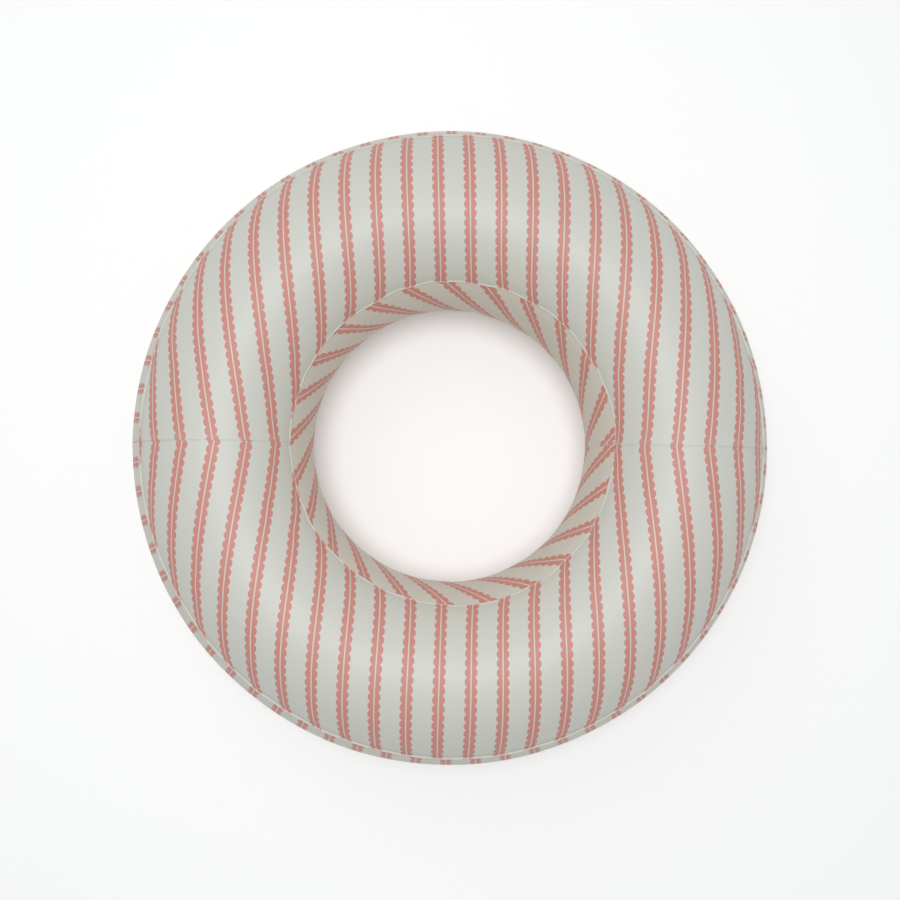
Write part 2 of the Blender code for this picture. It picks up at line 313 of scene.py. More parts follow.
def panel_tree(name, is_annulus):
    """Geometry nodes that lay a grid of film on the tube, with fins, dents, puckers and laps.

    The grid's columns go round the ring and its rows across the panel. The point's place on the
    flat film is kept as the UV map "cut", and what its welds need as "weld" and "lap".
    """
    tree, given, end = new_group(
        name, "GeometryNodeTree", PANEL_INPUTS, [("Geometry", "NodeSocketGeometry")]
    )
    grid = tree.nodes.new("GeometryNodeMeshGrid")
    feed(tree, given["Columns"], grid.inputs["Vertices X"])
    feed(tree, given["Rows"], grid.inputs["Vertices Y"])
    across_grid = split(tree, grid.outputs["UV Map"])

    # Round the ring, with more columns near the two ends
    sweep = across_grid[0] * 2.0 - 1.0
    sweep = sweep + sweep * (1.0 - sweep * sweep) * END_CROWDING
    middle = (given["Start"] + given["End"]) * 0.5
    around = middle + (given["End"] - given["Start"]) * 0.5 * sweep

    # Across the panel: the height above the tube and the distance from the nearer seam
    last_row = given["Rows"] - 1.0
    row = across_grid[1] * last_row
    from_edge = row.at_most(last_row - row)
    on_second_side = (row - last_row * 0.5).rise(-0.01, 0.01)
    fin = (from_edge / FIN_ROWS).clamped()
    turn = ((from_edge - FIN_ROWS) / FILLET_ROWS).clamped() * (math.pi / 2)
    corner_rows = FIN_ROWS + FILLET_ROWS
    inward = (from_edge - corner_rows).at_least(0.0) / (last_row * 0.5 - corner_rows)
    inward = inward * (ROW_SPREAD + inward * (1.0 - ROW_SPREAD))
    width = given["Tube Radius"] * (given["Seam From"] - given["Seam To"])

    # Laps at the panel's ends; hidden is 1 on those that are set in under another panel's
    seam_radius = given["Ring Radius"] + given["Tube Radius"] * given["Seam From"].cos()
    end_distance = (around - given["Start"]).at_most(given["End"] - around) * seam_radius
    past_lap = end_distance - given["Lap Length"]
    lapped = 1.0 - past_lap.rise(0.0, LAP_RAMP)
    lift = given["Lap Lift"] * lapped
    hidden = (given["Lap Lift"] * -1e5).clamped() * (1.0 - past_lap.rise(-0.0004, 0.0008))
    side_from = 1.0 - on_second_side
    fin_height = given["Fin From"] * side_from + given["Fin To"] * on_second_side
    fin_height = fin_height * (1.0 - hidden * (1.0 - SET_IN_FIN))

    rise = FIN_FILLET * (1.0 - turn.sin()) + (fin_height - FIN_FILLET) * (1.0 - fin)
    run = FIN_FILLET * (1.0 - turn.cos()) + (width * 0.5 - FIN_FILLET) * inward
    stand_off = SEAM_STAND_OFF + hidden * SET_IN_STAND_OFF
    from_seam = run + stand_off * (1.0 - inward)

    # The seam wanders a little, and both panels beside it follow
    seam_angle = given["Seam From"] * side_from + given["Seam To"] * on_second_side
    seam_ring = given["Ring Radius"] + given["Tube Radius"] * seam_angle.cos()
    seam_place = vector(
        tree,
        seam_ring * around.cos(),
        seam_ring * around.sin(),
        given["Tube Radius"] * seam_angle.sin(),
    )
    drift = (given["Drift From"] * side_from + given["Drift To"] * on_second_side) * around.cos()
    wander = noise(tree, seam_place, SEAM_WANDER_SIZE) * SEAM_WANDER
    wander = wander + noise(tree, seam_place, SEAM_KINK_SIZE) * SEAM_KINK
    near_seam = 1.0 - from_seam.rise(0.0, width * 0.5)
    wander, drift = wander * near_seam, drift * near_seam
    lean = noise(tree, seam_place, FIN_LEAN_SIZE) * rise * FIN_LEAN
    direction = side_from * 2.0 - 1.0
    off_seam = direction * from_seam
    tube_angle = seam_angle - (off_seam + drift + wander + lean) / given["Tube Radius"]

    # Out of the tube: lift of laps, dent along the seams, puckers and a slow swell
    dent = (from_seam * from_seam * (-1.0 / SEAM_DENT_REACH**2)).exp() * -SEAM_DENT
    pucker_fade = (from_seam * (-1.0 / PUCKER_REACH)).exp()
    pucker_fade = pucker_fade - (from_seam * (-4.0 / PUCKER_REACH)).exp() * 0.6
    puckers = noise(tree, seam_place, PUCKER_WIDTH, 2.0) * pucker_fade * PUCKER_DEPTH
    section = vector(
        tree,
        given["Ring Radius"] * around.cos() + given["Tube Radius"] * tube_angle.cos(),
        given["Ring Radius"] * around.sin(),
        given["Tube Radius"] * tube_angle.sin(),
    )
    swell = noise(tree, section, SWELL_WIDTH) * SWELL_DEPTH
    lap_fade = (abs(past_lap) * (-1.0 / PUCKER_REACH)).exp()
    along_lap = vector(tree, given["Tube Radius"] * tube_angle, around * 0.02, 0.0)
    lap_puckers = noise(tree, along_lap, PUCKER_WIDTH, 2.0) * lap_fade * PUCKER_DEPTH
    out = given["Tube Radius"] + rise + lift + dent + puckers + swell + lap_puckers

    ring = given["Ring Radius"] + out * tube_angle.cos()
    lowest = (-lift).at_least(0.0)
    height = (given["Tube Height"] + out * tube_angle.sin()).at_least(lowest)
    place = tree.nodes.new("GeometryNodeSetPosition")
    tree.links.new(grid.outputs["Mesh"], place.inputs["Geometry"])
    spot = vector(tree, ring * around.cos(), ring * around.sin(), height)
    tree.links.new(spot, place.inputs["Position"])

    # Where each point lies on the flat film; the fins are the film's own margins
    plain_angle = seam_angle - (off_seam + drift) / given["Tube Radius"]
    flat_cut = annulus_cut if is_annulus else strip_cut
    cut = flat_cut(tree, given, around, plain_angle, direction * rise)
    mesh = place.outputs["Geometry"]
    across_tube = tube_angle * given["Tube Radius"]
    kept = (
        ("cut", "FLOAT2", "CORNER", cut),
        ("weld", "FLOAT_VECTOR", "POINT", vector(tree, rise, from_seam, around * seam_ring)),
        ("lap", "FLOAT_VECTOR", "POINT", vector(tree, end_distance, across_tube, tube_angle.sin())),
    )
    for label, data_type, domain, value in kept:
        store = tree.nodes.new("GeometryNodeStoreNamedAttribute")
        store.data_type = data_type
        store.domain = domain
        store.inputs["Name"].default_value = label
        tree.links.new(mesh, store.inputs["Geometry"])
        tree.links.new(value, store.inputs["Value"])
        mesh = store.outputs["Geometry"]
    finish_tree(tree, mesh, given["Material"], end)
    return tree


def finish_tree(tree, mesh, material, end):
    """Smooth shading, Realize Instances and Set Material, then the output."""
    smooth = tree.nodes.new("GeometryNodeSetShadeSmooth")
    crisp = tree.nodes.new("GeometryNodeSetShadeSmooth")
    crisp.domain = "EDGE"
    crisp.inputs["Shade Smooth"].default_value = False
    faces = Term(tree, tree.nodes.new("GeometryNodeInputMeshEdgeNeighbors").outputs[0])
    feed(tree, faces.calc("LESS_THAN", faces, 1.5), crisp.inputs["Selection"])
    realize = tree.nodes.new("GeometryNodeRealizeInstances")
    paint = tree.nodes.new("GeometryNodeSetMaterial")
    tree.links.new(mesh, smooth.inputs[0])
    tree.links.new(smooth.outputs[0], crisp.inputs[0])
    tree.links.new(crisp.outputs[0], realize.inputs[0])
    tree.links.new(realize.outputs[0], paint.inputs["Geometry"])
    tree.links.new(material, paint.inputs["Material"])
    tree.links.new(paint.outputs[0], end.inputs[0])


def grown(name, tree, values, material):
    """Runs a geometry tree once and keeps its result as a plain mesh object."""
    holder = bpy.data.objects.new(name + "_tree", bpy.data.meshes.new(name + "_tree"))
    bpy.context.scene.collection.objects.link(holder)
    modifier = holder.modifiers.new("Geometry", "NODES")
    modifier.node_group = tree
    for item in tree.interface.items_tree:
        if item.in_out == "INPUT" and item.name in values:
            modifier[item.identifier] = values[item.name]
        elif item.in_out == "INPUT" and item.socket_type == "NodeSocketMaterial":
            modifier[item.identifier] = material
    graph = bpy.context.evaluated_depsgraph_get()
    mesh = bpy.data.meshes.new_from_object(holder.evaluated_get(graph), depsgraph=graph)
    mesh.name = name
    bpy.data.objects.remove(holder)
    made = bpy.data.objects.new(name, mesh)
    bpy.context.scene.collection.objects.link(made)
    return made


def face_out(mesh):
    """Turns every face of a panel away from the middle of the tube."""
    bm = bmesh.new()
    bm.from_mesh(mesh)
    bm.faces.ensure_lookup_table()
    face = bm.faces[len(bm.faces) // 2]
    centre = face.calc_center_median()
    ring = Vector((centre.x, centre.y, 0.0)).normalized() * TUBE["Ring Radius"]
    ring.z = TUBE["Tube Height"]
    if (centre - ring).dot(face.normal) < 0:
        bmesh.ops.reverse_faces(bm, faces=bm.faces)
    bm.to_mesh(mesh)
    bm.free()


def add_panel(name, tree, values, material):
    """One film panel, with its thickness inward."""
    panel = grown(name + "_film", tree, {**TUBE, **values}, material)
    face_out(panel.data)
    wall = panel.modifiers.new("Film", "SOLIDIFY")
    wall.thickness = FILM
    wall.offset = -1.0
    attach(panel, "ring")
    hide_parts(name)
    return panel


def tube_from_frame():
    """The round tube's sizes, from the faceted one in the frame."""
    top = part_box("top_panel_back")[1].z
    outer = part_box("outer_band_back")[1].x / math.cos(math.pi / CAD_RING_FLATS)
    radius = top / 2 / math.cos(CAD_REST_FLAT)
    return {"Ring Radius": outer - radius, "Tube Radius": radius, "Tube Height": top / 2}


def build_panels(films):
    annulus = panel_tree("Half ring panel", True)
    strip = panel_tree("Straight band panel", False)
    up = math.pi / 2
    seam = up - TOP_HALF
    rows_wide = 2 * (FIN_ROWS + FILLET_ROWS) + TUBE_ROWS_WIDE + 1
    rows_band = 2 * (FIN_ROWS + FILLET_ROWS) + TUBE_ROWS_BAND + 1
    lap = LAP_LENGTH / 2 / TUBE["Ring Radius"]
    halves = (
        ("back", 0.0, math.pi, LAP_OVER, BACK_SKEW, BACK_SHIFT, OUTER_RIBBON_BACK),
        ("front", math.pi, 2 * math.pi, LAP_UNDER, FRONT_SKEW, FRONT_SHIFT, OUTER_RIBBON_FRONT),
    )
    for half, start, stop, lift, skew, shift, ribbon_at in halves:
        ends = {"Start": start - lap, "End": stop + lap, "Lap Lift": lift, "Columns": COLUMNS_HALF}
        wide = {**ends, "Rows": rows_wide, "Slant": skew, "Shift": shift}
        top = {**wide, "Seam From": up + TOP_HALF, "Seam To": up - TOP_HALF}
        top["Drift From"] = top["Drift To"] = TOP_SEAM_DRIFT
        top["Fin From"] = INNER_FIN
        top["Gather"] = BACK_GATHER if half == "back" else 0.0
        bottom = {**wide, "Seam From": TOP_HALF - up, "Seam To": -TOP_HALF - up}
        bottom["Fin To"] = INNER_FIN
        band = {**ends, "Rows": rows_band, "Seam From": seam, "Seam To": -seam}
        band["Cut Radius"] = OUTER_CUT_RADIUS
        band["Drift From"] = TOP_SEAM_DRIFT
        band["Shift"] = OUTER_CUT_RADIUS * ribbon_at
        add_panel("top_panel_" + half, annulus, top, films["top"])
        add_panel("bottom_panel_" + half, annulus, bottom, films["top"])
        add_panel("outer_band_" + half, strip, band, films["outer"])
    first_ribbon = INNER_CUT_RADIUS * INNER_RIBBON * math.cos(INNER_SLANT)
    inner = {
        "Start": -lap,
        "End": 2 * math.pi + lap,
        "Lap Lift": 0.0,
        "Columns": COLUMNS_INNER,
        "Rows": rows_band,
        "Seam From": math.pi + seam,
        "Seam To": math.pi - seam,
        "Drift To": TOP_SEAM_DRIFT,
        "Fin From": INNER_FIN,
        "Fin To": INNER_FIN,
        "Cut Radius": INNER_CUT_RADIUS,
        "Slant": INNER_SLANT,
        "Shift": first_ribbon - TUBE["Tube Radius"] * seam * math.sin(INNER_SLANT),
    }
    add_panel("inner_band", strip, inner, films["inner"])


# Valve -------------------------------------------------------------------------------------------

VALVE_TILT = math.radians(-44.0)  # tube angle at which the valve sits, in the front half underneath
VALVE_FLAT_HALF = math.radians(8.0)  # half of the flat that the valve is welded to
FILM_HOLE = 0.0078
FILM_FLAT = 0.0125  # radius to which the film lies flat on the flange
FILM_EASE = 0.020  # width in which it rises back to its own shape
FILM_REFINED = (0.020, 0.013)  # distances from the valve within which the film's mesh gets finer
FILM_REACHED = 0.05  # and within which its points can move
FLANGE_RIDGE = (0.0121, 0.0009, 0.00025)  # radius, width and height of the mark of the flange's rim
FLANGE = (0.0075, 0.0120, -0.0014, -0.0006)  # inner and outer radius, lowest and highest
STEM_BORE = 0.0032
STEM_OUTER = 0.0044
STEM_END = -0.0130
LIP = (0.0056, 0.0004, 0.0014)  # outer radius, underside and top
PLUG_UNDERSIDE = 0.0017
PLUG_TOP = 0.0029
PLUG_HEAD = 0.0060
PLUG_SHANK = 0.00295
PLUG_SHANK_END = -0.0063
PLUG_EDGE = 0.0004  # depth of the head's dish and of its bevel
PLUG_DISH = (0.0042, 0.0047)  # radius of the dish's floor and of the raised rim's inner edge
PLUG_NECK = 0.0001  # how much thinner the shank is above its bead
PLUG_BEAD = (0.0022, 0.0014)  # upper and lower edge of the bead, from the shank's end
PLUG_TAPER = 0.0002
PLUG_WALL = 0.0009
WEB_SINK = 0.0002  # from the flange's top down to the web's
WEB_FOOT = 0.00495  # radius of the web at the stem's end, before it is drawn in
WEB_WIDENING = 0.00245
WEB_WAVE = 0.00016
WEB_DRAW_IN = 0.00036
WEB_HALF_THICKNESS = 0.00022
WEB_TOP_HALF_THICKNESS = 0.00012  # at the flange, where it thins out
WEB_STEPS = 24
INSERT = (0.00235, 0.00295, 0.0040)  # inner and outer radius, length
INSERT_BAR = 0.0006
INSERT_BAR_RISE = 0.0005
INSERT_BAR_OVERLAP = 0.0002
FLAP_GAP = 0.0003
FLAP_THICKNESS = 0.0004
STRAP_HALF_WIDTH = 0.0016
STRAP_HALF_THICKNESS = 0.00035
STRAP_ROOT = (0.0059, 0.0009)
STRAP_END = (0.0063, 0.00255)
STRAP_BEND = 0.0120
STRAP_NARROWING = 0.22
STRAP_ARM_STEPS = 6
STRAP_BEND_STEPS = 16
STRAP_SIDES = 16
FLAP_HINGE = -0.0035
TURNS = 96
SOFT_EDGE = 0.0003
STEM_EDGE = 0.00035
THIN_EDGE = 0.00015


def valve_axes():
    """The valve's frame: Z straight out of the film, X to the right, origin on the film."""
    outward = Vector((0.0, -math.cos(VALVE_TILT), math.sin(VALVE_TILT)))
    right = Vector((1.0, 0.0, 0.0))
    flat = TUBE["Tube Radius"] * math.cos(VALVE_FLAT_HALF)
    reach = TUBE["Ring Radius"] * math.cos(math.pi / CAD_RING_FLATS) + flat * math.cos(VALVE_TILT)
    axes = Matrix((right, outward.cross(right), outward)).transposed().to_4x4()
    axes.translation = (0.0, -reach, TUBE["Tube Height"] + flat * math.sin(VALVE_TILT))
    return axes


def rounded(corners, radius, steps=4):
    """The closed outline with each corner replaced by an arc, smaller where a side is short."""
    outline = []
    count = len(corners)
    for i, corner in enumerate(corners):
        here = Vector(corner)
        before, after = Vector(corners[i - 1]) - here, Vector(corners[(i + 1) % count]) - here
        angle = before.angle(after)
        cut = min(radius / math.tan(angle / 2), before.length * 0.45, after.length * 0.45)
        if here.x < 1e-6 or abs(angle - math.pi) < 0.02:
            outline.append(here)
            continue
        first, last = here + before.normalized() * cut, here + after.normalized() * cut
        for k in range(steps + 1):
            t = k / steps
            outline.append(first * (1 - t) ** 2 + here * 2 * t * (1 - t) + last * t * t)
    return outline


def turned(name, outline, axes):
    """A closed outline of (radius, height) points turned about the valve's axis."""
    bm = bmesh.new()
    rows = []
    for radius, height in outline:
        turns = [2 * math.pi * i / TURNS for i in range(TURNS)] if radius > 1e-6 else [0.0]
        spots = [(radius * math.cos(t), radius * math.sin(t), height) for t in turns]
        rows.append([bm.verts.new(spot) for spot in spots])
    for first, second in zip(rows, rows[1:] + rows[:1]):
        for i in range(TURNS):
            k = (i + 1) % TURNS
            corners = [first[i % len(first)], first[k % len(first)]]
            corners += [second[k % len(second)], second[i % len(second)]]
            corners = list(dict.fromkeys(corners))
            if len(corners) > 2:
                bm.faces.new(corners)
    return as_object(name, bm, axes)


def as_object(name, bm, axes):
    bmesh.ops.recalc_face_normals(bm, faces=bm.faces)
    bm.transform(axes)
    mesh = bpy.data.meshes.new(name)
    bm.to_mesh(mesh)
    bm.free()
    mesh.shade_smooth()
    mesh.set_sharp_from_angle(angle=math.radians(50.0))
    made = bpy.data.objects.new(name, mesh)
    bpy.context.scene.collection.objects.link(made)
    return made


def finish_piece(piece, node, finish):
    piece.data.materials.append(finish)
    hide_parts(node)


def build_flange(axes, soft):
    inner, outer, low, high = FLANGE
    outline = rounded([(inner, low), (outer, low), (outer, high), (inner, high)], SOFT_EDGE)
    piece = turned("valve_flange_ring", outline, axes)
    finish_piece(piece, "valve_flange", soft)
    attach(piece, "ring")


def build_web(axes, clear):
    """The thin skirt from flange to stem, with two soft waves and its foot drawn in."""
    outer_side, inner_side = [], []
    top = FLANGE[3] - WEB_SINK
    for i in range(WEB_STEPS + 1):
        share = i / WEB_STEPS
        height = STEM_END + (top - STEM_END) * share
        radius = WEB_FOOT + WEB_WIDENING * share + WEB_WAVE * math.sin(share * math.pi * 4)
        radius -= WEB_DRAW_IN * math.exp(-share * 20)
        half = WEB_HALF_THICKNESS if i < WEB_STEPS else WEB_TOP_HALF_THICKNESS
        outer_side.append((radius + half, height))
        inner_side.append((radius - half, height))
    piece = turned("valve_web_skirt", outer_side + inner_side[::-1], axes)
    finish_piece(piece, "valve_web", clear)
    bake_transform(piece)


def build_stem(axes, soft):
    lip, low, high = LIP
    corners = [(STEM_BORE, STEM_END), (STEM_OUTER, STEM_END), (STEM_OUTER, low)]
    corners += [(lip, low), (lip, high), (STEM_BORE, high)]
    piece = turned("valve_stem_tube", rounded(corners, STEM_EDGE), axes)
    finish_piece(piece, "valve_stem", soft)
    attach(piece, "stem")


def build_insert(axes, clear):
    """The stiff ring pushed into the stem's inner end, with two crossed bars behind the flap."""
    inner, outer, length = INSERT
    low, high = STEM_END, STEM_END + length
    outline = rounded([(inner, low), (outer, low), (outer, high), (inner, high)], THIN_EDGE)
    ring = turned("valve_insert_ring", outline, Matrix.Identity(4))
    bm = bmesh.new()
    bm.from_mesh(ring.data)
    for turn in (math.radians(45.0), math.radians(135.0)):
        place = Matrix.Translation((0.0, 0.0, low + INSERT_BAR_RISE)) @ Matrix.Rotation(turn, 4, "Z")
        span = inner * 2 + INSERT_BAR_OVERLAP
        size = Matrix.Diagonal((span, INSERT_BAR, INSERT_BAR, 1.0))
        bmesh.ops.create_cube(bm, size=1.0, matrix=place @ size)
    bpy.data.objects.remove(ring)
    piece = as_object("valve_insert_cage", bm, axes)
    finish_piece(piece, "valve_insert", clear)
    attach(piece, "stem")


def build_flap(axes, clear):
    """The check flap: a thin disc whose edge meets the hinge."""
    high = STEM_END - FLAP_GAP
    radius, low = -FLAP_HINGE, high - FLAP_THICKNESS
    outline = rounded([(0.0, low), (radius, low), (radius, high), (0.0, high)], THIN_EDGE)
    piece = turned("check_flap_disc", outline, axes)
    finish_piece(piece, "check_flap", clear)
    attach(piece, "flap")


def build_plug(axes, soft):
    """The plug: a head with a raised rim round a shallow dish, and a hollow shank with a bead."""
    low, dish = PLUG_UNDERSIDE, PLUG_TOP - PLUG_EDGE
    neck, wall = PLUG_SHANK - PLUG_NECK, PLUG_SHANK - PLUG_WALL
    bead_top, bead = [PLUG_SHANK_END + height for height in PLUG_BEAD]
    corners = [(0.0, dish), (PLUG_DISH[0], dish), (PLUG_DISH[1], PLUG_TOP)]
    corners += [(PLUG_HEAD - PLUG_EDGE, PLUG_TOP), (PLUG_HEAD, dish), (PLUG_HEAD, low)]
    corners += [(neck, low), (neck, bead_top), (PLUG_SHANK, bead)]
    corners += [(PLUG_SHANK - PLUG_TAPER, PLUG_SHANK_END), (wall, PLUG_SHANK_END)]
    corners += [(wall, low), (0.0, low)]
    piece = turned("valve_plug_cap", rounded(corners, SOFT_EDGE), axes)
    finish_piece(piece, "valve_plug", soft)
    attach(piece, "plug")


def build_strap(axes, soft):
    """The tether from the lip's rim round a loose bend to the head's rim, wider at both ends."""
    low, high = STRAP_ROOT[1], STRAP_END[1]
    bend = (high - low) / 2
    centre = STRAP_BEND - bend
    steps = STRAP_ARM_STEPS
    path = []
    for i in range(steps):
        path.append(Vector((STRAP_ROOT[0] + (centre - STRAP_ROOT[0]) * i / steps, low)))
    for i in range(STRAP_BEND_STEPS + 1):
        turn = math.pi * (i / STRAP_BEND_STEPS - 0.5)
        path.append(Vector((centre + bend * math.cos(turn), low + bend + bend * math.sin(turn))))
    for i in range(1, steps + 1):
        path.append(Vector((centre + (STRAP_END[0] - centre) * i / steps, high)))
    bm = bmesh.new()
    rows = []
    for i, point in enumerate(path):
        run = (path[min(i + 1, len(path) - 1)] - path[max(i - 1, 0)]).normalized()
        normal = Vector((run.y, -run.x))
        middle = 1.0 - abs(i / (len(path) - 1) * 2 - 1)
        half = STRAP_HALF_WIDTH * (1.0 - STRAP_NARROWING * min(1.0, middle * 3))
        section = []
        for k in range(STRAP_SIDES):
            turn = 2 * math.pi * k / STRAP_SIDES
            wide = math.copysign(abs(math.cos(turn)) ** 0.5, math.cos(turn)) * half
            thick = math.copysign(abs(math.sin(turn)) ** 0.6, math.sin(turn)) * STRAP_HALF_THICKNESS
            spot = point + normal * thick
            section.append(bm.verts.new((spot.x, wide, spot.y)))
        rows.append(section)
    for first, second in zip(rows, rows[1:]):
        for k in range(STRAP_SIDES):
            bm.faces.new((first[k], first[k - 1], second[k - 1], second[k]))
    for row in (rows[0], rows[-1]):
        bm.faces.new(row)
    piece = as_object("plug_strap_band", bm, axes)
    finish_piece(piece, "plug_strap", soft)
    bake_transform(piece)


def open_valve_hole(panel, axes):
    """Cuts the valve's hole in the film and draws the film round it flat onto the flange."""
    bm = bmesh.new()
    bm.from_mesh(panel.data)
    inward = axes.inverted()
    for reach in FILM_REFINED:
        near = [e for e in bm.edges if (inward @ e.verts[0].co).length < reach]
        bmesh.ops.subdivide_edges(bm, edges=near, cuts=1, use_grid_fill=True)
    spots = {v: inward @ v.co for v in bm.verts if (inward @ v.co).length < FILM_REACHED}
    for vert, spot in spots.items():
        away = math.hypot(spot.x, spot.y)
        share = min(1.0, max(0.0, (away - FILM_FLAT) / FILM_EASE))
        share = share * share * (3 - 2 * share)
        rim, width, height = FLANGE_RIDGE
        spot.z = spot.z * share + height * math.exp(-(((away - rim) / width) ** 2))
    inside = [f for f in bm.faces if (inward @ f.calc_center_median()).length < FILM_HOLE]
    bmesh.ops.delete(bm, geom=inside, context="FACES")
    for vert in [v for v in bm.verts if v in spots and v.is_boundary]:
        spot = spots[vert]
        away = math.hypot(spot.x, spot.y)
        if away < FILM_HOLE * 1.5:
            spot.x, spot.y = spot.x * FILM_HOLE / away, spot.y * FILM_HOLE / away
    for vert, spot in spots.items():
        if vert.is_valid:
            vert.co = axes @ spot
    bm.to_mesh(panel.data)
    bm.free()


def build_valve(soft, clear):
    axes = valve_axes()
    build_flange(axes, soft)
    build_web(axes, clear)
    build_stem(axes, soft)
    build_insert(axes, clear)
    build_flap(axes, clear)
    build_plug(axes, soft)
    build_strap(axes, soft)
    open_valve_hole(bpy.data.objects["bottom_panel_front_film"], axes)


# Materials ---------------------------------------------------------------------------------------

CORAL = (0.60, 0.255, 0.215, 1.0)
# Painted warm shade: multiplies the film's colour where the tube's surface faces level
SIDE_SHADE_TINT = (0.985, 0.965, 0.92, 1.0)
WELD_COLOR = (0.74, 0.74, 0.69, 1.0)
# Painted shade: grey laid along the edge of each panel's end, where shade sits at the film's step
LAP_EDGE_SHADE_COLOR = (0.30, 0.30, 0.28, 1.0)
FIN_EDGE = (0.0004, 0.0009)  # where a mask starts to rise and where it is full
RIB_EDGE = (0.0002, 0.0005)
LAP_EDGE = (0.0022, 0.0028)
LAP_EDGE_SHADE_SPAN = (0.0005, 0.0013)
RIB_PITCH = 0.0014
RIB_DEPTH = 0.00012
LAP_RIB_DEPTH = 0.00003
INK_SOFTNESS = 0.00012
INK_GRAIN = (0.0006, 0.00008)  # size and height of each kind of unevenness
PEEL = (0.0022, 0.000004)
SLOW_WAVES = (0.018, 0.00004)
MOULD_GRAIN = (0.0004, 0.00001)
FLOW_CLOUDS = (0.006, 0.00002)
HAZE_SIZE = 0.05
SHADE_PATCH_SIZE = 0.012


def ribbon_group():
    """Ink mask of the printed ribbon: lobed edges and a bare line down the middle."""
    tree, given, end = new_group(
        "Scalloped ribbon print",
        "ShaderNodeTree",
        (
            ("Cut", "NodeSocketVector", None),
            ("Pitch", "NodeSocketFloat", RIBBON_PITCH),
            ("Lobe Radius", "NodeSocketFloat", LOBE_RADIUS),
            ("Lobe Offset", "NodeSocketFloat", LOBE_OFFSET),
            ("Lobe Spacing", "NodeSocketFloat", LOBE_SPACING),
            ("Centre Line", "NodeSocketFloat", CENTRE_LINE),
            ("Edge Softness", "NodeSocketFloat", INK_SOFTNESS),
        ),
        [("Ink", "NodeSocketFloat")],
    )
    x, y, _ = split(tree, given["Cut"])
    off_line = abs(x.from_nearest(given["Pitch"]))
    off_lobe = y.from_nearest(given["Lobe Spacing"])
    sideways = (off_line - given["Lobe Offset"]).at_least(0.0)
    past_edge = (sideways * sideways + off_lobe * off_lobe).root() - given["Lobe Radius"]
    grain = noise(tree, given["Cut"], INK_GRAIN[0], 2.0) * INK_GRAIN[1]
    soft = given["Edge Softness"]
    inside = 1.0 - (past_edge + grain).rise(-soft, soft)
    beside_line = (off_line + grain - given["Centre Line"] * 0.5).rise(-soft, soft)
    feed(tree, inside * beside_line, end.inputs["Ink"])
    return tree


def film_group():
    """Surface of blown-up PVC film: slow waves, fine orange peel, haze and weld ribs."""
    tree, given, end = new_group(
        "Blown film surface",
        "ShaderNodeTree",
        (
            ("Place", "NodeSocketVector", None),
            ("Weld", "NodeSocketVector", None),
            ("Lap", "NodeSocketVector", None),
            ("Rib Pitch", "NodeSocketFloat", RIB_PITCH),
            ("Lap Length", "NodeSocketFloat", LAP_LENGTH),
        ),
        [
            ("Height", "NodeSocketFloat"),
            ("Haze", "NodeSocketFloat"),
            ("Fin", "NodeSocketFloat"),
            ("Lap", "NodeSocketFloat"),
            ("Side", "NodeSocketFloat"),
            ("Crease", "NodeSocketFloat"),
        ],
    )
    rise, _, along = split(tree, given["Weld"])
    end_distance, across, upright = split(tree, given["Lap"])
    peel = noise(tree, given["Place"], PEEL[0], 2.0) * PEEL[1]
    slow = noise(tree, given["Place"], SLOW_WAVES[0]) * SLOW_WAVES[1]
    on_fin = rise.rise(*FIN_EDGE)
    ribs = abs(along.from_nearest(given["Rib Pitch"])).rise(*RIB_EDGE) * on_fin
    lap = 1.0 - abs(end_distance - given["Lap Length"] * 0.5).rise(*LAP_EDGE)
    lap_ribs = abs(across.from_nearest(given["Rib Pitch"])).rise(*RIB_EDGE) * lap
    haze = noise(tree, given["Place"], HAZE_SIZE, 4.0, 0.6)
    height = peel + slow - ribs * RIB_DEPTH - lap_ribs * LAP_RIB_DEPTH
    feed(tree, height, end.inputs["Height"])
    feed(tree, haze * 0.5 + 0.5, end.inputs["Haze"])
    feed(tree, on_fin, end.inputs["Fin"])
    feed(tree, lap, end.inputs["Lap"])
    # Side: 1 where the film faces level, the mask of the painted warm shade on the tube's sides
    feed(tree, 1.0 - abs(upright), end.inputs["Side"])
    # Painted shade along the edge of each panel's end, made patchy by noise
    shade_patchiness = noise(tree, given["Place"], SHADE_PATCH_SIZE, 2.0) * 0.35 + 0.65
    feed(tree, (1.0 - end_distance.rise(*LAP_EDGE_SHADE_SPAN)) * shade_patchiness, end.inputs["Crease"])
    return tree


def film_color_group():
    """Colour of the film: clouded ground, thin ink, paler fins, painted warm shade on the tube's
    sides and painted shade along each panel end's edge.
    """
    masks = ("Ink", "Haze", "Fin", "Lap", "Side", "Crease")
    tree, given, end = new_group(
        "Printed film colour",
        "ShaderNodeTree",
        [("Ground", "NodeSocketColor", None), ("Ink Color", "NodeSocketColor", None)]
        + [(mask, "NodeSocketFloat", 0.0) for mask in masks],
        [("Color", "NodeSocketColor")],
    )
    ink, haze, fin, lap, side_shade, lap_edge_shade = [given[mask] for mask in masks]
    ground = blend_colors(tree, haze * 0.35, given["Ground"], gray(0.955), "MULTIPLY")
    thin_ink = blend_colors(tree, haze * 0.4, given["Ink Color"], gray(1.06), "MULTIPLY")
    printed = blend_colors(tree, ink * (1.0 - fin * 0.62), ground, thin_ink)
    # Painted warm shade on the tube's sides, strongest where the film faces level
    side_shaded = blend_colors(tree, side_shade * side_shade, printed, SIDE_SHADE_TINT, "MULTIPLY")
    welded = blend_colors(tree, fin * 0.20 + lap * 0.06, side_shaded, WELD_COLOR)
    # Painted shade along the edges of the panels' ends
    lap_edge_shaded = blend_colors(tree, lap_edge_shade * 0.30, welded, LAP_EDGE_SHADE_COLOR)
    tree.links.new(lap_edge_shaded, end.inputs["Color"])
    return tree


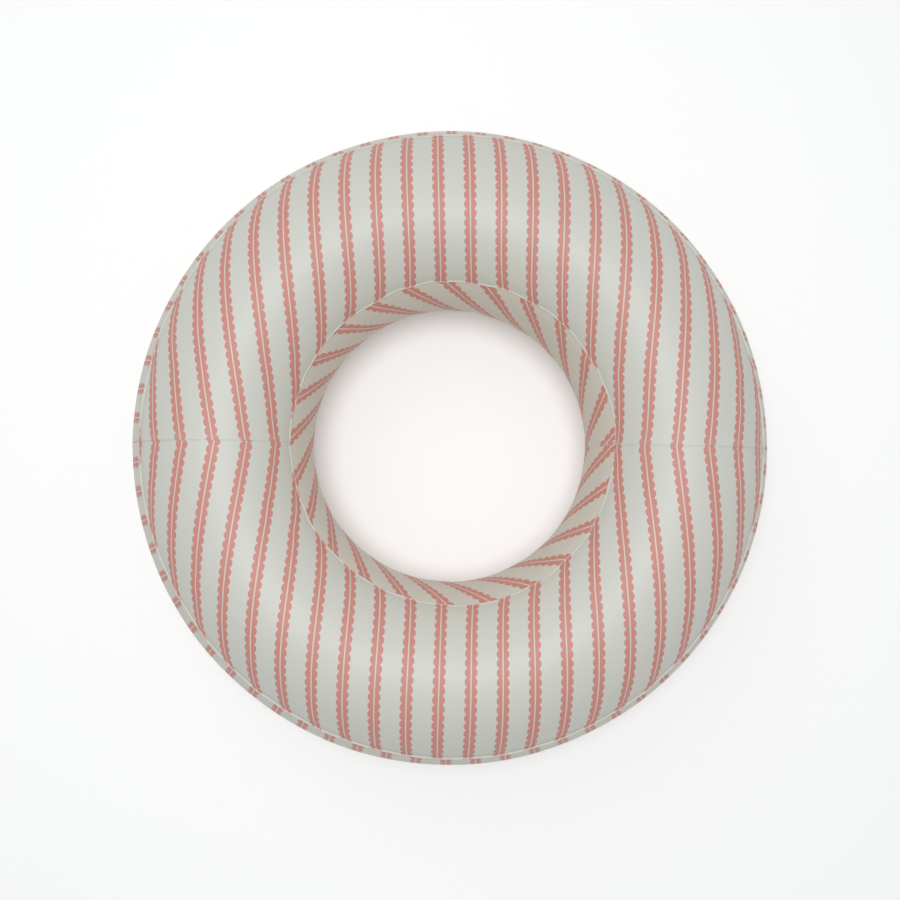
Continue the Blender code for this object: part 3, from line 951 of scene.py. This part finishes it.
def attribute(tree, name):
    node = tree.nodes.new("ShaderNodeAttribute")
    node.attribute_name = name
    return node.outputs["Vector"]


def object_place(tree):
    return tree.nodes.new("ShaderNodeTexCoord").outputs["Object"]


def blend_colors(tree, share, first, second, mode="MIX"):
    node = tree.nodes.new("ShaderNodeMix")
    node.data_type = "RGBA"
    node.blend_type = mode
    feed(tree, share, node.inputs["Factor"])
    for value, slot in ((first, node.inputs["A"]), (second, node.inputs["B"])):
        feed(tree, value, slot)
    return node.outputs["Result"]


def use_group(tree, group, **values):
    node = tree.nodes.new("ShaderNodeGroup")
    node.node_tree = group
    for label, value in values.items():
        feed(tree, value, node.inputs[label.replace("_", " ")])
    return node


def rgba(red, green, blue):
    return (red, green, blue, 1.0)


def gray(value):
    return rgba(value, value, value)


def new_material(name):
    made = bpy.data.materials.new(name)
    made.use_nodes = True
    return made, made.node_tree, made.node_tree.nodes["Principled BSDF"]


def bump(tree, height, shader):
    node = tree.nodes.new("ShaderNodeBump")
    node.inputs["Strength"].default_value = 1.0
    node.inputs["Distance"].default_value = 1.0
    feed(tree, height, node.inputs["Height"])
    tree.links.new(node.outputs["Normal"], shader.inputs["Normal"])


def film_material(name, ground, ribbon, surface, coloring):
    """Printed film of one ground colour, with coral ink and a satin gloss."""
    made, tree, shader = new_material(name)
    uv = tree.nodes.new("ShaderNodeUVMap")
    uv.uv_map = "cut"
    ink = Term(tree, use_group(tree, ribbon, Cut=uv.outputs["UV"]).outputs["Ink"])
    place, weld, lap = object_place(tree), attribute(tree, "weld"), attribute(tree, "lap")
    skin = use_group(tree, surface, Place=place, Weld=weld, Lap=lap).outputs
    masks = {mask: skin[mask] for mask in ("Haze", "Fin", "Lap", "Side", "Crease")}
    color = use_group(tree, coloring, Ground=rgba(*ground), Ink_Color=CORAL, Ink=ink, **masks)
    tree.links.new(color.outputs["Color"], shader.inputs["Base Color"])
    haze, on_lap = Term(tree, skin["Haze"]), Term(tree, skin["Lap"])
    feed(tree, 0.46 + haze * 0.07 + ink * 0.04 + on_lap * 0.04, shader.inputs["Roughness"])
    bump(tree, skin["Height"], shader)
    return made


def pvc_group():
    """Surface of moulded PVC: fine mould grain and faint flow clouds."""
    tree, given, end = new_group(
        "Moulded PVC surface",
        "ShaderNodeTree",
        (("Place", "NodeSocketVector", None), ("Grain", "NodeSocketFloat", MOULD_GRAIN[1])),
        [("Height", "NodeSocketFloat"), ("Cloud", "NodeSocketFloat")],
    )
    grain = noise(tree, given["Place"], MOULD_GRAIN[0], 3.0, 0.6) * given["Grain"]
    cloud = noise(tree, given["Place"], FLOW_CLOUDS[0], 3.0, 0.6)
    feed(tree, grain + cloud * FLOW_CLOUDS[1], end.inputs["Height"])
    feed(tree, cloud * 0.5 + 0.5, end.inputs["Cloud"])
    return tree


def pvc_material(name, color, deeper, surface, roughness, transmission):
    made, tree, shader = new_material(name)
    skin = use_group(tree, surface, Place=object_place(tree))
    cloud = Term(tree, skin.outputs["Cloud"])
    clouded = blend_colors(tree, cloud, rgba(*color), rgba(*deeper))
    tree.links.new(clouded, shader.inputs["Base Color"])
    feed(tree, roughness + cloud * 0.08, shader.inputs["Roughness"])
    shader.inputs["Transmission Weight"].default_value = transmission
    bump(tree, skin.outputs["Height"], shader)
    return made


# Stage -------------------------------------------------------------------------------------------

CAMERA_DISTANCE = 1.2499
CAMERA_TILT = (0.0054, -0.0439)  # from straight down, to the right and to the back
CAMERA_ROLL = 0.0122
CAMERA_LENS = 40.1
CAMERA_SHIFT = (0.00076, -0.0058)
SKY_LIGHT = 0.42
SKY_BAND = 0.55  # height up to which the sky's light differs from side to side
SKY_BACK = 0.20
SKY_RIGHT = 0.05
SKY_LOW = -0.06
SKY_DARK_CORNER = 0.12  # to the front left
SKY_SEEN = 0.80  # how bright the backdrop shows behind the floor
FLOOR_DROP = 0.0006
FLOOR_COLOR = (0.947, 0.96, 0.965, 1.0)
FLOOR_GLOW = 0.12


def build_camera():
    data = bpy.data.cameras.new("Camera")
    data.lens = CAMERA_LENS
    data.sensor_width = 36.0
    data.shift_x, data.shift_y = CAMERA_SHIFT
    camera = bpy.data.objects.new("Camera", data)
    bpy.context.scene.collection.objects.link(camera)
    back = Vector((math.sin(CAMERA_TILT[0]), math.sin(CAMERA_TILT[1]), 1.0)).normalized()
    up = Vector((-math.sin(CAMERA_ROLL), math.cos(CAMERA_ROLL), 0.0))
    right = up.cross(back).normalized()
    up = back.cross(right)
    target = Vector((0.0, 0.0, TUBE["Tube Height"]))
    place = Matrix((right, up, back)).transposed().to_4x4()
    place.translation = target + back * CAMERA_DISTANCE
    camera.matrix_world = place
    bpy.context.scene.camera = camera


def add_softbox(name, place, target, size, power):
    data = bpy.data.lights.new(name, "AREA")
    data.shape = "DISK"
    data.size = size
    data.energy = power
    light = bpy.data.objects.new(name, data)
    bpy.context.scene.collection.objects.link(light)
    light.location = place
    light.rotation_mode = "QUATERNION"
    light.rotation_quaternion = (Vector(target) - Vector(place)).to_track_quat("-Z", "Y")


def build_stage():
    bpy.context.scene.view_settings.view_transform = "Standard"
    world = bpy.data.worlds.new("Studio")
    bpy.context.scene.world = world
    world.use_nodes = True
    tree = world.node_tree
    background = tree.nodes["Background"]
    background.inputs["Color"].default_value = rgba(1.0, 1.0, 1.0)
    sky = tree.nodes.new("ShaderNodeTexCoord")
    right, back, up = split(tree, sky.outputs["Generated"])
    low = 1.0 - up.rise(0.0, SKY_BAND)
    dark_corner = ((right + back) * -0.707).rise(0.55, 1.0)
    side_light = back * SKY_BACK + right * SKY_RIGHT - dark_corner * SKY_DARK_CORNER + SKY_LOW
    seen = Term(tree, tree.nodes.new("ShaderNodeLightPath").outputs["Is Camera Ray"])
    light = SKY_LIGHT + low * side_light
    feed(tree, light + seen * (SKY_SEEN - light), background.inputs["Strength"])
    add_softbox("Overhead", (-0.10, 0.08, 3.0), (0.0, 0.0, 0.1), 1.3, 42.0)
    add_softbox("Side", (-0.9, 1.5, 2.2), (0.0, 0.0, 0.1), 1.8, 6.0)
    bm = bmesh.new()
    bmesh.ops.create_grid(bm, x_segments=1, y_segments=1, size=8.0)
    mesh = bpy.data.meshes.new("floor")
    bm.to_mesh(mesh)
    bm.free()
    floor = bpy.data.objects.new("floor", mesh)
    bpy.context.scene.collection.objects.link(floor)
    mesh.transform(Matrix.Translation((0.0, 0.0, -FLOOR_DROP)))
    made, tree, shader = new_material("pale_floor")
    shader.inputs["Base Color"].default_value = FLOOR_COLOR
    shader.inputs["Roughness"].default_value = 1.0
    shader.inputs["Specular IOR Level"].default_value = 0.0
    shader.inputs["Emission Color"].default_value = rgba(1.0, 1.0, 1.0)
    shader.inputs["Emission Strength"].default_value = FLOOR_GLOW
    mesh.materials.append(made)


# The object --------------------------------------------------------------------------------------

for leftover in list(bpy.data.objects):
    bpy.data.objects.remove(leftover)
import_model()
TUBE = tube_from_frame()

film_groups = (ribbon_group(), film_group(), film_color_group())
build_panels(
    {
        # The inner band's ground is a warmer copy of the same cream film: painted warm bounce light
        # from the coral print inside the hole. The outer band's ground differs a touch as well.
        "top": film_material("cream_film", (0.63, 0.64, 0.585), *film_groups),
        "outer": film_material("cream_film_outer", (0.635, 0.635, 0.575), *film_groups),
        "inner": film_material("cream_film_inner_warm_shade", (0.65, 0.625, 0.55), *film_groups),
    }
)
moulded = pvc_group()
build_valve(
    pvc_material("soft_white_pvc", (0.80, 0.80, 0.76), (0.74, 0.74, 0.70), moulded, 0.34, 0.0),
    pvc_material("clear_pvc", (0.86, 0.87, 0.85), (0.80, 0.82, 0.80), moulded, 0.20, 0.22),
)

build_camera()
build_stage()
